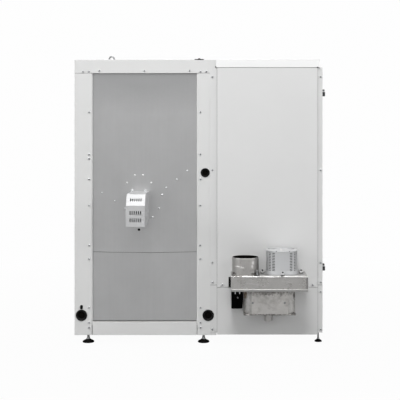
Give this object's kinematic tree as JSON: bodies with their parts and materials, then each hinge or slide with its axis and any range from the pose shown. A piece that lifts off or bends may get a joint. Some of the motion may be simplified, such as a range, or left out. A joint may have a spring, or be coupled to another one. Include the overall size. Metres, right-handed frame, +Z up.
{
  "type": "pellet boiler with hopper cabinet",
  "caption": "Floor-standing pellet boiler: framed pellet hopper cabinet beside a panelled boiler cabinet, with rear flue collar, caged fan, ash collector, vented auger cover and levelling feet.",
  "frame": {"origin": "on the floor under the middle of the bounding box", "axes": "+Z up; the rear, with the flue, faces -Y; +X to the right seen from the rear, where the boiler cabinet stands"},
  "size_m": [1.256, 1.012, 1.443],
  "materials": {
    "frame_paint": "light grey powder coat",
    "panel_paint": "white-grey powder coat",
    "galvanised_sheet": "dull zinc coating",
    "cover_sheet": "bare satin sheet",
    "stainless": "satin stainless with handling marks",
    "cage_steel": "bright zinc-plated",
    "motor_black": "black paint",
    "boiler_core": "dark primer",
    "black_plastic": "matt black moulding",
    "black_rubber": "matt black rubber"
  },
  "bodies": {
    "root": {"hopper_post_rear_left": "frame_paint", "hopper_post_rear_right": "frame_paint", "hopper_post_front_left": "frame_paint", "hopper_post_front_right": "frame_paint", "hopper_top_rail_rear": "frame_paint", "hopper_top_rail_front": "frame_paint", "hopper_bottom_rail_rear": "frame_paint", "hopper_bottom_rail_front": "frame_paint", "hopper_side_panel": "frame_paint", "hopper_rear_panel_upper": "galvanised_sheet", "hopper_rear_panel_lower": "galvanised_sheet", "hopper_front_panel": "panel_paint", "hopper_top_plate": "panel_paint", "hopper_base_plate": "galvanised_sheet", "hopper_lid": "panel_paint", "lid_handle": "cage_steel", "lid_latch": "black_plastic", "motor_cover": "cover_sheet", "auger_motor": "motor_black", "boiler_body": "boiler_core", "boiler_side_panel_left_upper": "panel_paint", "boiler_side_panel_left_lower": "panel_paint", "boiler_side_panel_right_upper": "panel_paint", "boiler_side_panel_right_lower": "panel_paint", "boiler_rear_panel_upper": "panel_paint", "boiler_rear_panel_lower": "panel_paint", "boiler_front_panel_upper": "panel_paint", "boiler_front_panel_lower": "panel_paint", "boiler_lid": "panel_paint", "flue_gasket": "black_rubber", "flue_duct": "stainless", "duct_flange": "stainless", "flue_collar": "stainless", "fan_base_plate": "cage_steel", "fan_motor": "motor_black", "fan_cage": "cage_steel", "fan_cap": "cage_steel", "ash_collector": "stainless", "drain_socket": "stainless", "junction_box": "black_plastic", "flue_sensor": "cage_steel", "cable_grommets": "black_rubber", "slot_plug": "black_rubber", "hopper_feet": "black_plastic", "boiler_feet": "black_plastic", "side_clips": "black_plastic"}
  },
  "joints": []
}
